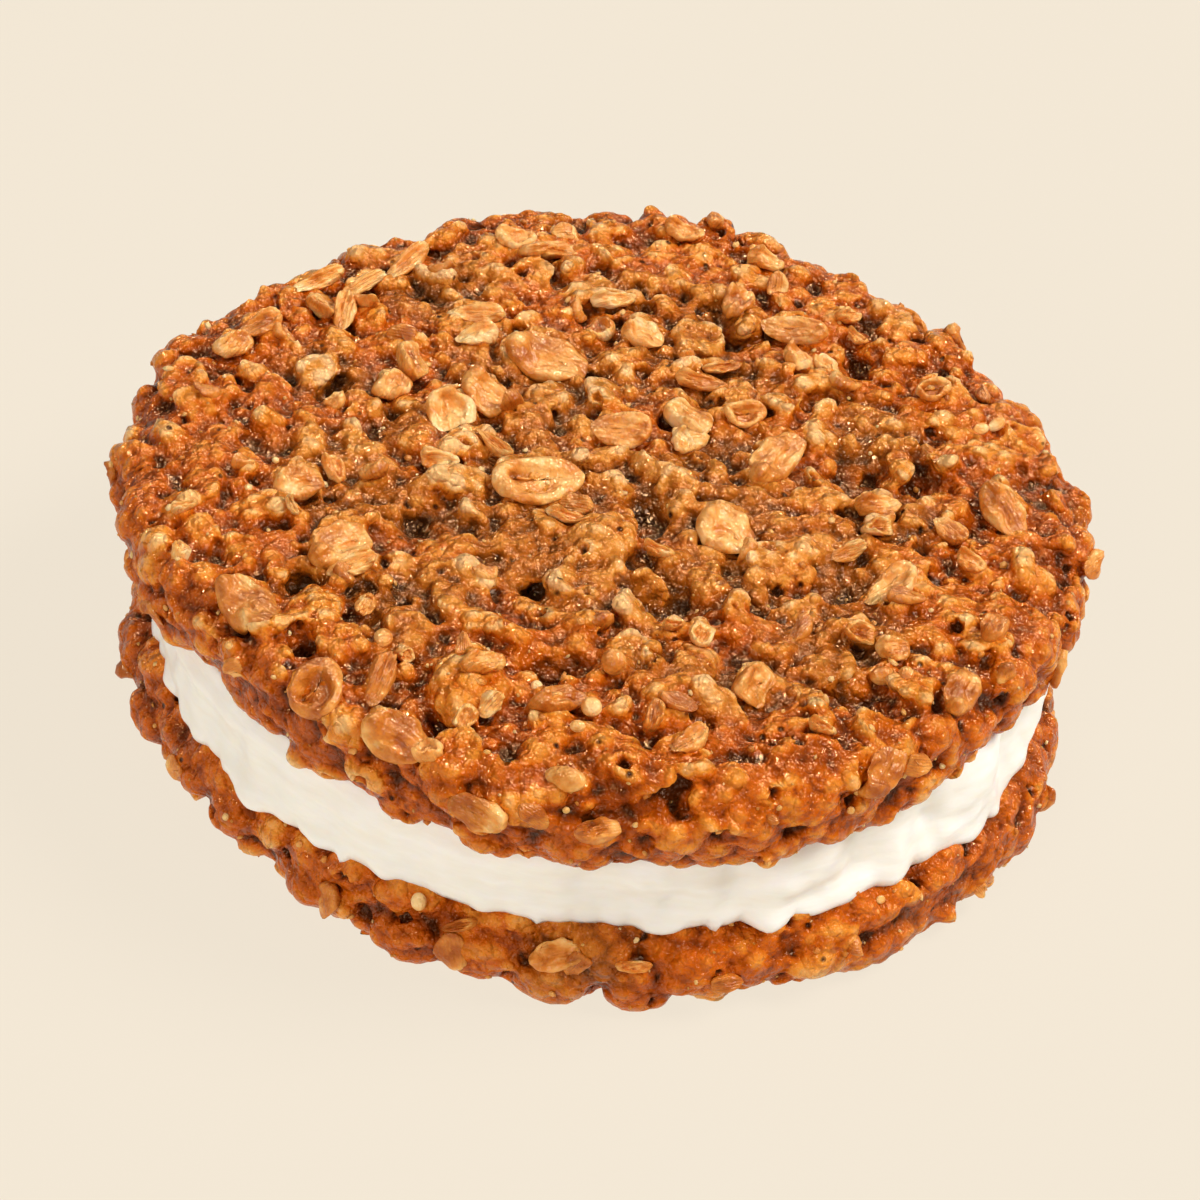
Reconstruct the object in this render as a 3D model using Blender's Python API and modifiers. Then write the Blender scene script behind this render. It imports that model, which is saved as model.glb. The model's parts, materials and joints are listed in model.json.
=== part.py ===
"""Oatmeal cream pie: two thick, lumpy oat cookies with a disc of white cream squeezed between them.

Run with: blender --background --python part.py
Units are metres and +Z is up. The origin is on the table, under the middle of the pie.
"""

import math
import random

import bmesh
import bpy
from mathutils import Matrix, Vector

# Driving dimensions, in metres
MM = 0.001
PIE_DIAMETER = 96 * MM
TOP_THICKNESS = 11.5 * MM
CREAM_THICKNESS = 8.5 * MM
BOTTOM_THICKNESS = 9.9 * MM
FACE_GAP = 0.3 * MM  # left between pieces that rest on each other

# The bottom cookie and the cream are a little narrower than the top cookie.
BOTTOM_DIAMETER = 0.974 * PIE_DIAMETER
CREAM_DIAMETER = 0.965 * PIE_DIAMETER
BOTTOM_SHIFT = Vector((0.5 * MM, -0.2 * MM, 0.0))
PRESSED = 1.0 * MM  # how much of the bottom cookie's tallest lumps is pressed flat on the table

# Lumps of oats that stand out of the baked face and the rim
FACE_LUMP_PITCH = 7.4 * MM  # from one lump to the next
FACE_LUMP_HEIGHT = 2.2 * MM  # how far the tallest lump stands out
RIM_LUMP_PITCH = 9.0 * MM
RIM_LUMP_HEIGHT = 1.3 * MM
RIM_ROWS = (0.3, 0.62)  # heights of the two rows of rim lumps, as shares of the thickness
LUMP_RADII = (3.0 * MM, 5.2 * MM)
LUMP_DEPTHS = (2.2 * MM, 3.2 * MM)
LUMP_LEAN = math.radians(14)
DOME_HEIGHT = 0.7 * MM
DOME_SPREAD = 0.92  # the dome's radius as a share of the cookie's

# Rounding of the rims, as shares of each layer's thickness
BAKED_RIM = 0.42
TRAY_RIM = 0.24
CREAM_RIM = 0.36
TRAY_TRIM = 0.5 * MM  # cut off the tray side, so that it is truly flat

# Fineness of the solids
DISC_SEGMENTS = 72
RIM_SEGMENTS = 4
REMESH_SIZE = 1.6 * MM
KEPT_SHARE = 0.21  # of the remeshed faces, after they are thinned
CUTTER_SIZE = 2 * PIE_DIAMETER
CUTTER_DEPTH = 10 * MM

# An outline is a circle with waves on it: (waves per turn, height as a share of the radius, turn).
# The bottom cookie lies on its baked face, so its turns are the mirror image of what they look like.
TOP_WAVES = ((2, 0.021, 3.69), (3, 0.007, 3.14), (4, 0.022, 0.05))
BOTTOM_WAVES = ((2, 0.023, 1.17), (3, 0.013, -3.61), (4, 0.012, 0.84))
CREAM_WAVES = ((2, 0.010, -0.9), (5, 0.005, 0.4), (11, 0.004, 1.0), (17, 0.003, 2.0))

COOKIE_COLOUR = (0.48, 0.17, 0.035, 1.0)
CREAM_COLOUR = (0.90, 0.86, 0.78, 1.0)


def clear_scene():
    for obj in list(bpy.data.objects):
        bpy.data.objects.remove(obj)


def new_collection(name):
    collection = bpy.data.collections.new(name)
    bpy.context.scene.collection.children.link(collection)
    return collection


def new_material(name, colour, roughness):
    material = bpy.data.materials.new(name)
    material.use_nodes = True
    shader = material.node_tree.nodes["Principled BSDF"]
    shader.inputs["Base Color"].default_value = colour
    shader.inputs["Roughness"].default_value = roughness
    shader.inputs["Metallic"].default_value = 0.0
    return material


def new_object(name, bm, collection, material=None):
    mesh = bpy.data.meshes.new(name)
    bm.to_mesh(mesh)
    bm.free()
    if material:
        mesh.materials.append(material)
    obj = bpy.data.objects.new(name, mesh)
    collection.objects.link(obj)
    return obj


def wave_factor(angle, waves):
    """How far out the outline lies at an angle, as a share of its mean radius."""
    return 1.0 + sum(height * math.cos(count * angle - turn) for count, height, turn in waves)


def round_rim(bm, height, rounding):
    """Rounds the rim of a disc at one height."""
    rim = [
        edge
        for edge in bm.edges
        if all(abs(vert.co.z - height) < 0.01 * MM for vert in edge.verts)
    ]
    bmesh.ops.bevel(
        bm, geom=rim, offset=rounding, segments=RIM_SEGMENTS, profile=0.5, affect="EDGES"
    )


def add_disc(bm, radius, low, high, low_rounding, high_rounding, waves):
    """Adds a disc from low to high, with round rims and a wavy outline."""
    made = bmesh.ops.create_cone(
        bm,
        cap_ends=True,
        segments=DISC_SEGMENTS,
        radius1=radius,
        radius2=radius,
        depth=high - low,
        matrix=Matrix.Translation((0.0, 0.0, (low + high) / 2)),
    )
    for vert in made["verts"]:
        factor = wave_factor(math.atan2(vert.co.y, vert.co.x), waves)
        vert.co.x *= factor
        vert.co.y *= factor
    round_rim(bm, low, low_rounding)
    round_rim(bm, high, high_rounding)


def add_dome(bm, radius, foot):
    """Adds a shallow dome over the baked face."""
    matrix = Matrix.Translation((0, 0, foot)) @ Matrix.Diagonal((radius, radius, DOME_HEIGHT, 1.0))
    bmesh.ops.create_icosphere(bm, subdivisions=5, radius=1.0, matrix=matrix)


def face_sites(radius, waves, foot):
    """Lump places on the domed face, on a sunflower spiral: (point, outward direction)."""
    count = round(math.pi * radius**2 / FACE_LUMP_PITCH**2)
    golden_turn = math.pi * (3 - math.sqrt(5))
    for k in range(count):
        angle = k * golden_turn
        share = math.sqrt(k / count)
        out = share * radius * wave_factor(angle, waves)
        height = foot + DOME_HEIGHT * math.sqrt(1.0 - share**2)
        yield Vector((out * math.cos(angle), out * math.sin(angle), height)), Vector((0, 0, 1))


def rim_sites(radius, waves, thickness):
    """Lump places round the rim, in staggered rows: (point, outward direction)."""
    count = round(math.tau * radius / RIM_LUMP_PITCH)
    for row, share in enumerate(RIM_ROWS):
        for k in range(count):
            angle = math.tau * (k + row / len(RIM_ROWS)) / count
            out = (radius - row * 0.12 * thickness) * wave_factor(angle, waves)
            outward = Vector((math.cos(angle), math.sin(angle), 0.6 * row)).normalized()
            yield Vector((out * math.cos(angle), out * math.sin(angle), share * thickness)), outward


def add_lump(bm, point, outward, pitch, tallest, rng):
    """Adds one flattened, leaning ball that stands out of the surface."""
    long_radius = rng.uniform(*LUMP_RADII)
    short_radius = long_radius * rng.uniform(0.65, 0.95)
    depth = rng.uniform(*LUMP_DEPTHS)
    stands_out = rng.uniform(0.1, 1.0) * tallest
    side_step = Vector((rng.uniform(-1, 1), rng.uniform(-1, 1), 0.0)) * 0.22 * pitch
    lean = Matrix.Rotation(rng.uniform(-1, 1) * LUMP_LEAN, 4, "X")
    turn = Matrix.Rotation(rng.uniform(0, math.tau), 4, "Z")
    facing = outward.to_track_quat("Z", "Y").to_matrix().to_4x4()
    centre = point + facing.to_3x3() @ side_step + outward * (stands_out - depth)
    shape = Matrix.Diagonal((long_radius, short_radius, depth, 1.0))
    matrix = Matrix.Translation(centre) @ facing @ lean @ turn @ shape
    bmesh.ops.create_icosphere(bm, subdivisions=3, radius=1.0, matrix=matrix)


def add_middle_lump(bm, top):
    """Adds the broad lump in the middle of the baked face, which the bottom cookie rests on."""
    radius, depth = LUMP_RADII[1], LUMP_DEPTHS[1]
    matrix = Matrix.Translation((0, 0, top - depth)) @ Matrix.Diagonal((radius, radius, depth, 1.0))
    bmesh.ops.create_icosphere(bm, subdivisions=3, radius=1.0, matrix=matrix)


def add_cutter(name, low, high, collection):
    """Adds a hidden box that cuts everything between two heights."""
    bm = bmesh.new()
    middle = Matrix.Translation((0, 0, (low + high) / 2))
    shape = Matrix.Diagonal((CUTTER_SIZE, CUTTER_SIZE, high - low, 1))
    bmesh.ops.create_cube(bm, size=1.0, matrix=middle @ shape)
    cutter = new_object(name, bm, collection)
    cutter.hide_render = True
    cutter.display_type = "WIRE"
    return cutter


def fuse_and_trim(obj, cutters):
    """Fuses the overlapping lumps into one lumpy skin, thins it, and cuts its flat faces."""
    remesh = obj.modifiers.new("Fuse lumps", "REMESH")
    remesh.mode = "VOXEL"
    remesh.voxel_size = REMESH_SIZE
    remesh.adaptivity = 0.0
    smooth = obj.modifiers.new("Soften creases", "SMOOTH")
    smooth.factor = 0.5
    smooth.iterations = 3
    thin = obj.modifiers.new("Thin faces", "DECIMATE")
    thin.decimate_type = "COLLAPSE"
    thin.ratio = KEPT_SHARE
    for cutter in cutters:
        cut = obj.modifiers.new("Cut " + cutter.name, "BOOLEAN")
        cut.operation = "DIFFERENCE"
        cut.solver = "EXACT"
        cut.object = cutter


def build_cookie(name, radius, thickness, waves, seed, collection, material):
    """A cookie with its flat tray side at z = 0 and its baked, lumpy side up, not yet cut."""
    rng = random.Random(seed)
    bm = bmesh.new()
    face_height = thickness - DOME_HEIGHT - 0.85 * FACE_LUMP_HEIGHT
    body_radius = radius - 0.6 * RIM_LUMP_HEIGHT
    dome_radius = DOME_SPREAD * body_radius
    add_disc(
        bm, body_radius, -TRAY_TRIM, face_height, TRAY_RIM * thickness, BAKED_RIM * thickness, waves
    )
    add_dome(bm, dome_radius, face_height)
    for point, outward in face_sites(dome_radius, waves, face_height):
        add_lump(bm, point, outward, FACE_LUMP_PITCH, FACE_LUMP_HEIGHT, rng)
    for point, outward in rim_sites(body_radius, waves, thickness):
        add_lump(bm, point, outward, RIM_LUMP_PITCH, RIM_LUMP_HEIGHT, rng)
    add_middle_lump(bm, thickness)
    return new_object(name, bm, collection, material)


def build_cream(name, low, high, collection, material):
    """The cream: a flat-faced disc whose side bulges out unevenly between the cookies."""
    bm = bmesh.new()
    rounding = CREAM_RIM * (high - low)
    add_disc(bm, CREAM_DIAMETER / 2, low, high, rounding, rounding, CREAM_WAVES)
    cream = new_object(name, bm, collection, material)
    cream.data.shade_smooth()
    cream.data.set_sharp_from_angle(angle=math.radians(40))
    return cream


def main():
    clear_scene()
    pie = new_collection("Oatmeal cream pie")
    cutters = new_collection("Cutters")
    cookie_material = new_material("Baked oat cookie", COOKIE_COLOUR, 0.45)
    cream_material = new_material("White cream", CREAM_COLOUR, 0.5)

    cream_low = BOTTOM_THICKNESS
    top_low = BOTTOM_THICKNESS + CREAM_THICKNESS

    below_table = add_cutter("below_table", -CUTTER_DEPTH, 0.0, cutters)
    under_cream = add_cutter("under_cream", cream_low, cream_low + CUTTER_DEPTH, cutters)
    over_cream = add_cutter("over_cream", top_low - CUTTER_DEPTH, top_low, cutters)

    bottom = build_cookie(
        "bottom_cookie",
        BOTTOM_DIAMETER / 2,
        BOTTOM_THICKNESS + PRESSED,
        BOTTOM_WAVES,
        7,
        pie,
        cookie_material,
    )
    bottom.rotation_euler = (math.pi, 0.0, 0.0)
    bottom.location = Vector((0, 0, BOTTOM_THICKNESS)) + BOTTOM_SHIFT
    fuse_and_trim(bottom, (under_cream, below_table))

    build_cream("cream_filling", cream_low + FACE_GAP, top_low - FACE_GAP, pie, cream_material)

    top = build_cookie(
        "top_cookie", PIE_DIAMETER / 2, TOP_THICKNESS, TOP_WAVES, 3, pie, cookie_material
    )
    top.location = (0, 0, top_low)
    fuse_and_trim(top, (over_cream,))


main()
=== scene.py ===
"""Looks of the oatmeal cream pie: two lumpy baked oat cookies with a band of white cream between them.

Each cookie is made the way dough behaves: a soft disc, with dough-coated oats, knobs and beads pressed
all over it, melted into one skin. Bare rolled oats and crumbs of oat then lie on that skin.
Lengths are in metres.
"""

import json
import math
import random
from collections import namedtuple

import bpy
import numpy as np
from mathutils import Matrix, Vector, noise
from mathutils.bvhtree import BVHTree
from mathutils.kdtree import KDTree

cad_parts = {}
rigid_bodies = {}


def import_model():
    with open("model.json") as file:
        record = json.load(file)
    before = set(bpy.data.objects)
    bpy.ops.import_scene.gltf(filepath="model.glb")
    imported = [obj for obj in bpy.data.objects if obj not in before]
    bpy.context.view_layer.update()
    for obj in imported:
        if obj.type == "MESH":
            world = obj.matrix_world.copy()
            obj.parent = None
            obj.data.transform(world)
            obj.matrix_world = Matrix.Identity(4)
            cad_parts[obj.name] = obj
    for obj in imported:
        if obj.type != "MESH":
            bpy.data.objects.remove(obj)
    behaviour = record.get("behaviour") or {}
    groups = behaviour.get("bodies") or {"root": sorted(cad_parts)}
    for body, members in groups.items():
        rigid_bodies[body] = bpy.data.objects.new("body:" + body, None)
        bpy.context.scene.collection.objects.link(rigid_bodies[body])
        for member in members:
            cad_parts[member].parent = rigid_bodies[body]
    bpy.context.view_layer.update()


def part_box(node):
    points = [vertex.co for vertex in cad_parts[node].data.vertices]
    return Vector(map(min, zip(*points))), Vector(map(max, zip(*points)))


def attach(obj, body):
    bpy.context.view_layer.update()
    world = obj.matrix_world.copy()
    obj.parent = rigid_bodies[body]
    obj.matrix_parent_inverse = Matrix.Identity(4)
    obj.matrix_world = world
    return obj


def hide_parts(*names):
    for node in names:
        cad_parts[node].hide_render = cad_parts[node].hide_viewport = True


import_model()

MM = 0.001

# ------------------------------------------------------------------ camera

# A 96 mm lens on a 36 mm sensor, looking down on the front of the pie, with the horizon a little tilted
LENS_MM = 96.0
SENSOR_MM = 36.0
CAMERA_RISE = math.radians(38.07)
CAMERA_ROLL = math.radians(6.61)
CAMERA_DISTANCE = 320.2 * MM
CAMERA_AIM = Vector((0.46, -4.21, 15.0)) * MM
FRAME_SIDE = 1200.0  # the camera's frame in its own pixels, across and down
FOCAL = LENS_MM / SENSOR_MM * FRAME_SIDE

LOOK_BACK = Vector((0.0, -math.cos(CAMERA_RISE), math.sin(CAMERA_RISE)))
LEVEL_RIGHT = Vector((1.0, 0.0, 0.0))
LEVEL_UP = LOOK_BACK.cross(LEVEL_RIGHT)
FRAME_RIGHT = LEVEL_RIGHT * math.cos(CAMERA_ROLL) + LEVEL_UP * math.sin(CAMERA_ROLL)
FRAME_UP = LEVEL_UP * math.cos(CAMERA_ROLL) - LEVEL_RIGHT * math.sin(CAMERA_ROLL)
EYE = CAMERA_AIM + LOOK_BACK * CAMERA_DISTANCE


def make_camera():
    data = bpy.data.cameras.new("Camera")
    data.lens = LENS_MM
    data.sensor_width = SENSOR_MM
    data.clip_start = 0.01
    camera = bpy.data.objects.new("Camera", data)
    bpy.context.scene.collection.objects.link(camera)
    turn = Matrix((FRAME_RIGHT, FRAME_UP, LOOK_BACK)).transposed()
    camera.matrix_world = Matrix.Translation(EYE) @ turn.to_4x4()
    bpy.context.scene.camera = camera


def sight(across, down):
    """The direction from the camera through a place in its frame."""
    sideways = (across - FRAME_SIDE / 2) / FOCAL
    upwards = (FRAME_SIDE / 2 - down) / FOCAL
    return (FRAME_RIGHT * sideways + FRAME_UP * upwards - LOOK_BACK).normalized()


# ------------------------------------------------------------------ small tools


def only(obj):
    """Selects this object alone and makes it the active one."""
    bpy.ops.object.select_all(action="DESELECT")
    obj.select_set(True)
    bpy.context.view_layer.objects.active = obj


def settle(obj):
    """Puts the object's place, turn and size into its mesh."""
    only(obj)
    bpy.ops.object.transform_apply(location=True, rotation=True, scale=True)


def worked(obj, kind, **settings):
    """Adds a modifier with its settings and applies it."""
    only(obj)
    modifier = obj.modifiers.new(kind, kind)
    for name, value in settings.items():
        setattr(modifier, name, value)
    bpy.ops.object.modifier_apply(modifier=modifier.name)


def edit(obj, kind, wanted):
    """Goes into edit mode with just the edges, or just the polygons, selected that pass a test."""
    only(obj)
    bpy.context.tool_settings.mesh_select_mode = (False, kind == "edges", kind == "polygons")
    bpy.ops.object.mode_set(mode="EDIT")
    bpy.ops.mesh.select_all(action="DESELECT")
    bpy.ops.object.mode_set(mode="OBJECT")
    for part in getattr(obj.data, kind):
        part.select = wanted(part)
    bpy.ops.object.mode_set(mode="EDIT")


def leave_edit():
    bpy.ops.object.mode_set(mode="OBJECT")


def read_points(mesh, name="co"):
    flat = np.empty(len(mesh.vertices) * 3, np.float32)
    mesh.vertices.foreach_get(name, flat)
    return flat.reshape(-1, 3)


def write_points(mesh, points):
    mesh.vertices.foreach_set("co", np.asarray(points, np.float32).ravel())
    mesh.update()


def write_number(mesh, name, values):
    """Stores a number for each point of a mesh, or one for them all, for its material to read."""
    attribute = mesh.attributes.get(name) or mesh.attributes.new(name, "FLOAT", "POINT")
    attribute.data.foreach_set("value", np.full(len(mesh.vertices), values, np.float32))


def copy_of(form, matrix):
    """A copy of a form with its own mesh, set in place."""
    piece = form.copy()
    piece.data = form.data.copy()
    piece.data.transform(matrix)
    bpy.context.scene.collection.objects.link(piece)
    return piece


def joined(pieces, name):
    """Joins the pieces into one object."""
    bpy.ops.object.select_all(action="DESELECT")
    for piece in pieces:
        piece.select_set(True)
    bpy.context.view_layer.objects.active = pieces[0]
    bpy.ops.object.join()
    pieces[0].name = name
    pieces[0].data.name = name
    return pieces[0]


def texture(name, kind, size, **settings):
    """A bump texture for the displace modifier, at a real size."""
    made = bpy.data.textures.new(name, kind)
    made.noise_scale = size
    for key, value in settings.items():
        setattr(made, key, value)
    return made


def bumped(obj, bumps, strength, level=0.5):
    """Pushes the points of an object out and in by a bump texture."""
    worked(obj, "DISPLACE", texture=bumps, strength=strength, mid_level=level, texture_coords="LOCAL")


def smooth_copy(obj, rounds):
    """A copy of an object without its fine bumps."""
    smooth = copy_of(obj, Matrix())
    worked(smooth, "SMOOTH", factor=0.9, iterations=rounds)
    return smooth


def places_on(skin, wanted):
    """The points of a skin that pass a test, each with the direction that it faces."""
    return [(vert.co.copy(), vert.normal.copy()) for vert in skin.data.vertices if wanted(vert)]


def tree_of(points):
    """A tree that finds the nearest of some points."""
    tree = KDTree(len(points))
    for index, point in enumerate(points):
        tree.insert(point, index)
    tree.balance()
    return tree


# ------------------------------------------------------------------ where things lie

# Something that is seen at a place in the camera's frame: its form, how long and how wide it looks in
# frame pixels, the turn of its long side in degrees, and how much syrup it took, from 0 to 1
Seen = namedtuple("Seen", "across down form long wide turn syrup", defaults=(0.5,))


def surface_of(obj):
    """A surface that lines of sight can meet."""
    mesh = obj.data
    points = [vert.co.copy() for vert in mesh.vertices]
    return BVHTree.FromPolygons(points, [tuple(face.vertices) for face in mesh.polygons])


def placed_as_seen(seen, surface, size, thickness, sunk, lean):
    """The matrix that lays a form on a surface so that it looks as it is seen, and the point it lies on.

    The form leans towards the camera by a share of the way, and sinks in by a share of its thickness.
    """
    away = sight(seen.across, seen.down)
    point, normal, _, distance = surface.ray_cast(EYE, away)
    if point is None:
        return None, None
    normal = (normal * (1 - lean) - away * lean).normalized()
    turn = math.radians(seen.turn)
    columns = []
    for angle, pixels, across in (
        (turn, seen.long, size[0]),
        (turn + math.pi / 2, seen.wide, size[1]),
    ):
        flat = FRAME_RIGHT * math.cos(angle) + FRAME_UP * math.sin(angle)
        along = flat - away * (flat.dot(normal) / away.dot(normal))
        columns.append(along * pixels * distance / FOCAL / across)
    columns.append(normal * thickness)
    matrix = Matrix(columns).transposed().to_4x4()
    lift = size[2] * thickness * (0.5 - sunk)
    return Matrix.Translation(point + normal * lift) @ matrix, point


def scattered(places, spacing, rng):
    """Those of the places, each a point and a direction, that keep a spacing from each other."""
    order = list(range(len(places)))
    rng.shuffle(order)
    cells = {}
    kept = []
    for index in order:
        point = places[index][0]
        home = tuple(int(math.floor(c / spacing)) for c in point)
        around = (
            (home[0] + i, home[1] + j, home[2] + k)
            for i in (-1, 0, 1)
            for j in (-1, 0, 1)
            for k in (-1, 0, 1)
        )
        if all((point - other).length >= spacing for cell in around for other in cells.get(cell, ())):
            cells.setdefault(home, []).append(point)
            kept.append(places[index])
    return kept


def laid(point, normal, lean, size, rng, spins=math.pi):
    """The matrix that lays a form at a place, spun at random and leaning a little."""
    facing = normal.to_track_quat("Z", "Y").to_matrix().to_4x4()
    spin = Matrix.Rotation(rng.uniform(-spins, spins), 4, "Z")
    tip = Matrix.Rotation(rng.uniform(-lean, lean), 4, "X")
    tip = tip @ Matrix.Rotation(rng.uniform(-lean, lean), 4, "Y")
    return Matrix.Translation(point) @ facing @ tip @ spin @ Matrix.Diagonal((*size, 1.0))


# ------------------------------------------------------------------ oats and beads

# A rolled oat is 6 to 9 mm long, 5 to 7 mm wide and about 1.5 mm thick once it is baked.
OAT_SIZE = (8.0 * MM, 6.6 * MM, 1.5 * MM)
BEAD_SIZE = (1.0 * MM, 1.0 * MM, 1.0 * MM)
RAGGED = texture("ragged outline", "CLOUDS", 2.6 * MM, noise_depth=1)


def roughen(form, ragged, away):
    """Bumps a form at a place of its own, so that no two forms take the same bumps."""
    form.data.transform(Matrix.Translation(away))
    bumped(form, RAGGED, ragged)
    form.data.transform(Matrix.Translation(-away))


def model_oat(number, dish, bend, twist, ragged, corners=14, rounds=2, notch=0.0, ridges=0.0, toasted=0.25):
    """One rolled oat: a grain pressed to an uneven oval, with a thick round rim, a dished middle and a bend.

    Its material reads how far each point is from the toasted middle, and its flat outline as a UV map.
    """
    length, width, thick = OAT_SIZE
    bpy.ops.mesh.primitive_cylinder_add(vertices=corners, radius=0.5, depth=1.0)
    oat = bpy.context.object
    oat.name = f"oat_form_{number}"
    oat.scale = OAT_SIZE
    settle(oat)
    for vert in oat.data.vertices:
        angle = math.atan2(vert.co.y, vert.co.x)
        uneven = 0.08 * math.sin(2 * angle + 1.7 * number) + 0.09 * math.sin(3 * angle + 2.9 * number)
        uneven += 0.03 * math.sin(5 * angle + 4.1 * number)
        vert.co.x *= 1.0 + uneven
        vert.co.y *= 1.0 + uneven
        if vert.co.x > 0.38 * length and abs(vert.co.y) < 0.2 * width:
            vert.co.x *= 1.0 - notch
    edit(oat, "polygons", lambda face: face.normal.z > 0.9)
    # The top steps in to a rim, down to the dish and up a little, by shares of the width and the thickness
    for inward, deep in ((0.19, 0.0), (0.09, -dish), (0.10, 0.15)):
        bpy.ops.mesh.inset(thickness=inward * width, depth=deep * thick, use_even_offset=False)
    leave_edit()
    worked(oat, "SUBSURF", levels=rounds, render_levels=rounds)

    points = read_points(oat.data)
    share = np.hypot(points[:, 0] / (length / 2), points[:, 1] / (width / 2))
    middle = np.clip((0.7 - share) / 0.35, 0, 1) * (points[:, 2] > -0.3 * thick)
    write_number(oat.data, "toast", toasted * middle)
    outline = oat.data.uv_layers.active.data
    for loop in oat.data.loops:
        vert = oat.data.vertices[loop.vertex_index].co
        outline[loop.index].uv = (vert.x / length + number, vert.y / length)
    if ridges:
        wobble = 0.4 * np.sin(points[:, 0] / (1.3 * MM))
        points[:, 2] += ridges * np.sin(math.tau * points[:, 1] / (1.15 * MM) + wobble)
        write_points(oat.data, points)

    roughen(oat, ragged, Vector((0.02 * number, 0.013 * number, 0.0)))
    worked(oat, "SIMPLE_DEFORM", deform_method="BEND", angle=math.radians(bend), deform_axis="Y")
    worked(oat, "SIMPLE_DEFORM", deform_method="TWIST", angle=math.radians(twist), deform_axis="X")
    oat.data.shade_smooth()
    return oat


def model_bead(number, ragged, rounds=2):
    """A round nub of dough or a broken bit of grain, 1 mm across before it is sized."""
    bpy.ops.mesh.primitive_ico_sphere_add(subdivisions=rounds, radius=0.5 * MM)
    bead = bpy.context.object
    bead.name = f"bead_form_{number}"
    roughen(bead, ragged, Vector((0.01 * number, 0.0, 0.02)))
    bead.data.shade_smooth()
    write_number(bead.data, "toast", 0.0)
    return bead


def model_forms():
    """The few forms that everything scattered is copied from, by name."""
    small = {"rounds": 1, "corners": 10, "ragged": 1.1 * MM}
    return {
        "ring": model_oat(0, dish=0.7, bend=8, twist=3, ragged=0.8 * MM, corners=16, toasted=0.6),
        "curl": model_oat(1, dish=0.55, bend=30, twist=10, ragged=0.9 * MM, notch=0.35, toasted=0.5),
        "disc": model_oat(2, dish=0.25, bend=14, twist=-8, ragged=1.3 * MM),
        "fold": model_oat(3, dish=0.3, bend=60, twist=15, ragged=1.0 * MM, notch=0.5),
        "crease": model_oat(4, dish=0.3, bend=-30, twist=12, ragged=1.0 * MM, ridges=0.09 * MM),
        "torn": model_oat(5, dish=0.2, bend=30, twist=-20, ragged=1.7 * MM, corners=12, notch=0.3),
        "coated_a": model_oat(6, dish=0.1, bend=12, twist=6, ragged=0.6 * MM, rounds=1),
        "coated_b": model_oat(7, dish=0.15, bend=22, twist=-10, ragged=0.8 * MM, rounds=1, notch=0.3),
        "coated_c": model_oat(8, dish=0.0, bend=16, twist=8, ragged=0.5 * MM, ridges=0.25 * MM),
        "small_a": model_oat(12, dish=0.1, bend=20, twist=-12, notch=0.4, **small),
        "small_b": model_oat(13, dish=0.0, bend=-25, twist=12, **small),
        "bead": model_bead(9, 0.25 * MM),
        "knob": model_bead(10, 0.3 * MM, rounds=3),
        "crumb": model_bead(11, 0.9 * MM, rounds=1),
    }


def size_of(form):
    """The size that a form was modelled at."""
    return OAT_SIZE if form.name.startswith("oat") else BEAD_SIZE


# ------------------------------------------------------------------ what lies where

# Hollows in the top face, where the dough sank between the oats: across, down, long and wide
HOLLOWS = (
    (853, 480, 60, 45),
    (921, 484, 40, 30),
    (864, 370, 44, 32),
    (736, 338, 70, 24),
    (648, 516, 56, 34),
    (668, 602, 74, 36),
    (532, 588, 46, 40),
    (335, 385, 30, 30),
    (840, 588, 50, 26),
    (850, 700, 70, 22),
    (447, 722, 36, 26),
    (305, 642, 30, 20),
    (300, 580, 30, 20),
    (418, 520, 40, 26),
    (560, 672, 60, 24),
)

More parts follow.
